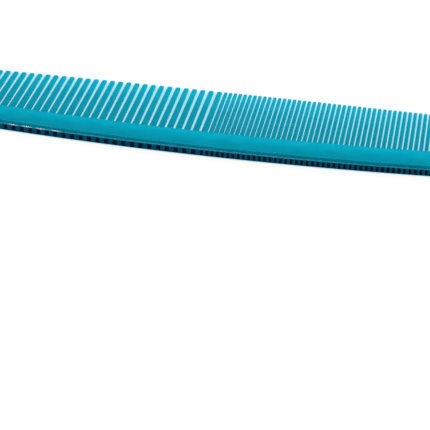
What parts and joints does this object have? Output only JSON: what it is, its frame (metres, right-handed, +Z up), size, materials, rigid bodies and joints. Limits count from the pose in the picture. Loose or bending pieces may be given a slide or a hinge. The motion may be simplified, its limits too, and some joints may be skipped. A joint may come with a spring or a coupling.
{
  "type": "flea comb",
  "caption": "Two-pitch grooming comb: coarse blades on the left, fine blades on the right, clamped between two bowed rails with a broad guard at each end.",
  "frame": {"origin": "under the middle of the comb's box, on the surface that it lies on", "axes": "+X along the spine from the coarse teeth to the fine ones, +Y from the spine to the tooth tips, +Z up from the rear rail to the crowned front rail"},
  "size_m": [0.1912, 0.0384, 0.005],
  "materials": {
    "coated_steel": "teal powder coat, satin to gloss, on steel",
    "coated_steel_rear": "teal powder coat, satin, with light rubbing where it lies on a table",
    "rivet_steel": "bare steel rivet heads, turned flat"
  },
  "bodies": {
    "root": {"change_tooth": "coated_steel", "coarse_tooth_01": "coated_steel", "coarse_tooth_02": "coated_steel", "coarse_tooth_03": "coated_steel", "coarse_tooth_04": "coated_steel", "coarse_tooth_05": "coated_steel", "coarse_tooth_06": "coated_steel", "coarse_tooth_07": "coated_steel", "coarse_tooth_08": "coated_steel", "coarse_tooth_09": "coated_steel", "coarse_tooth_10": "coated_steel", "coarse_tooth_11": "coated_steel", "coarse_tooth_12": "coated_steel", "coarse_tooth_13": "coated_steel", "coarse_tooth_14": "coated_steel", "coarse_tooth_15": "coated_steel", "coarse_tooth_16": "coated_steel", "coarse_tooth_17": "coated_steel", "coarse_tooth_18": "coated_steel", "coarse_tooth_19": "coated_steel", "coarse_tooth_20": "coated_steel", "coarse_tooth_21": "coated_steel", "coarse_tooth_22": "coated_steel", "coarse_tooth_23": "coated_steel", "coarse_tooth_24": "coated_steel", "coarse_tooth_25": "coated_steel", "coarse_tooth_26": "coated_steel", "coarse_tooth_27": "coated_steel", "coarse_tooth_28": "coated_steel", "coarse_tooth_29": "coated_steel", "fine_teeth_01": "coated_steel", "fine_teeth_02": "coated_steel", "fine_teeth_03": "coated_steel", "fine_teeth_04": "coated_steel", "fine_teeth_05": "coated_steel", "fine_teeth_06": "coated_steel", "fine_teeth_07": "coated_steel", "fine_teeth_08": "coated_steel", "fine_teeth_09": "coated_steel", "fine_teeth_10": "coated_steel", "front_rail": "coated_steel", "left_guard": "coated_steel", "rear_rail": "coated_steel_rear", "right_guard": "coated_steel", "rivets": "rivet_steel"}
  },
  "joints": []
}
